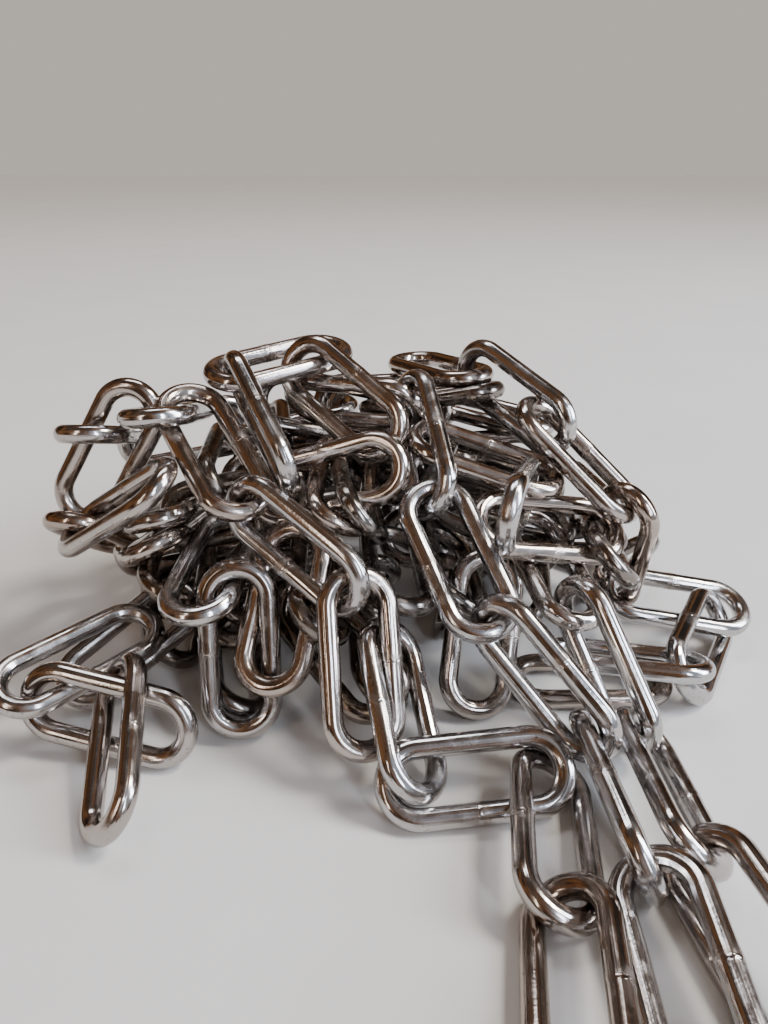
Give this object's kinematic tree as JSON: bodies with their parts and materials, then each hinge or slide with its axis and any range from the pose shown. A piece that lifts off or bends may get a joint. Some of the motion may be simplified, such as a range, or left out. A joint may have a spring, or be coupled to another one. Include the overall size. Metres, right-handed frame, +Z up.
{
  "type": "heap of chain",
  "caption": "Loose heap of polished long-link steel chain lying on a level floor, with two runs of links trailing out of it.",
  "frame": {"origin": "middle of the heap's bounding box, on the floor", "axes": "+Z up, +Y from the trailing runs towards the mound's back, +X to the right seen from the trailing side"},
  "size_m": [0.2424, 0.294, 0.1026],
  "materials": {
    "link_wire": "bright polished steel wire, unplated, with fine draw lines and smudges",
    "core": "plain dark steel standing for the shaded links inside the heap"
  },
  "bodies": {
    "root": {"back_floor_link_01": "link_wire", "back_floor_link_02": "link_wire", "back_link_01": "link_wire", "back_link_02": "link_wire", "back_link_03": "link_wire", "back_link_04": "link_wire", "back_link_05": "link_wire", "crest_link_01": "link_wire", "crest_link_02": "link_wire", "crest_link_03": "link_wire", "crest_low_link_01": "link_wire", "crest_low_link_02": "link_wire", "front_link_01": "link_wire", "front_link_02": "link_wire", "front_link_03": "link_wire", "front_link_04": "link_wire", "front_link_05": "link_wire", "front_link_06": "link_wire", "front_link_07": "link_wire", "front_link_08": "link_wire", "front_link_09": "link_wire", "front_link_10": "link_wire", "front_link_11": "link_wire", "front_link_12": "link_wire", "front_link_13": "link_wire", "front_link_14": "link_wire", "front_link_15": "link_wire", "front_link_16": "link_wire", "front_link_17": "link_wire", "front_link_18": "link_wire", "heap_core": "core", "left_back_link_01": "link_wire", "left_back_link_02": "link_wire", "left_back_link_03": "link_wire", "left_floor_link_01": "link_wire", "left_floor_link_02": "link_wire", "left_floor_link_03": "link_wire", "left_ledge_link_01": "link_wire", "left_link_01": "link_wire", "left_link_02": "link_wire", "left_link_03": "link_wire", "left_low_link_01": "link_wire", "left_slope_link_01": "link_wire", "middle_floor_link_01": "link_wire", "middle_link_01": "link_wire", "middle_link_02": "link_wire", "middle_link_03": "link_wire", "right_crest_link_01": "link_wire", "right_crest_link_02": "link_wire", "right_crest_link_03": "link_wire", "right_crest_link_04": "link_wire", "right_crest_link_05": "link_wire", "right_crest_link_06": "link_wire", "right_crest_link_07": "link_wire", "right_floor_link_01": "link_wire", "right_link_01": "link_wire", "right_link_02": "link_wire", "right_link_03": "link_wire", "right_link_04": "link_wire", "right_link_05": "link_wire"}
  },
  "joints": []
}
